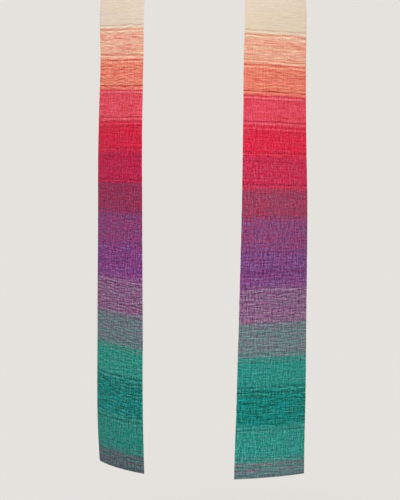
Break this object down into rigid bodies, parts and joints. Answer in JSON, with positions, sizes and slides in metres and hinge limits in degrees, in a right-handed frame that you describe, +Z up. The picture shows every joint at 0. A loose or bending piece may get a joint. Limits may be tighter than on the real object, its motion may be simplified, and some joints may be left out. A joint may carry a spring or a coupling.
{
  "type": "clerical stole",
  "caption": "Long handwoven clerical stole in worn form: two banded panels seamed at the nape, laid over the shoulders and hanging down the front.",
  "frame": {"origin": "middle of the nape seam, on the face that lies against the back of the wearer's neck", "axes": "+Z up along the hanging panels, -Y the way the wearer faces, +X to the wearer's left"},
  "size_m": [0.3991, 0.2862, 1.1842],
  "materials": {
    "woven_cloth": "matt handwoven plain weave in bands that blend from cream at the neck through peach, coral, red, plum, violet and mauve to green and slate at the hems"
  },
  "bodies": {
    "root": {"left_panel": "woven_cloth", "right_panel": "woven_cloth"}
  },
  "joints": []
}
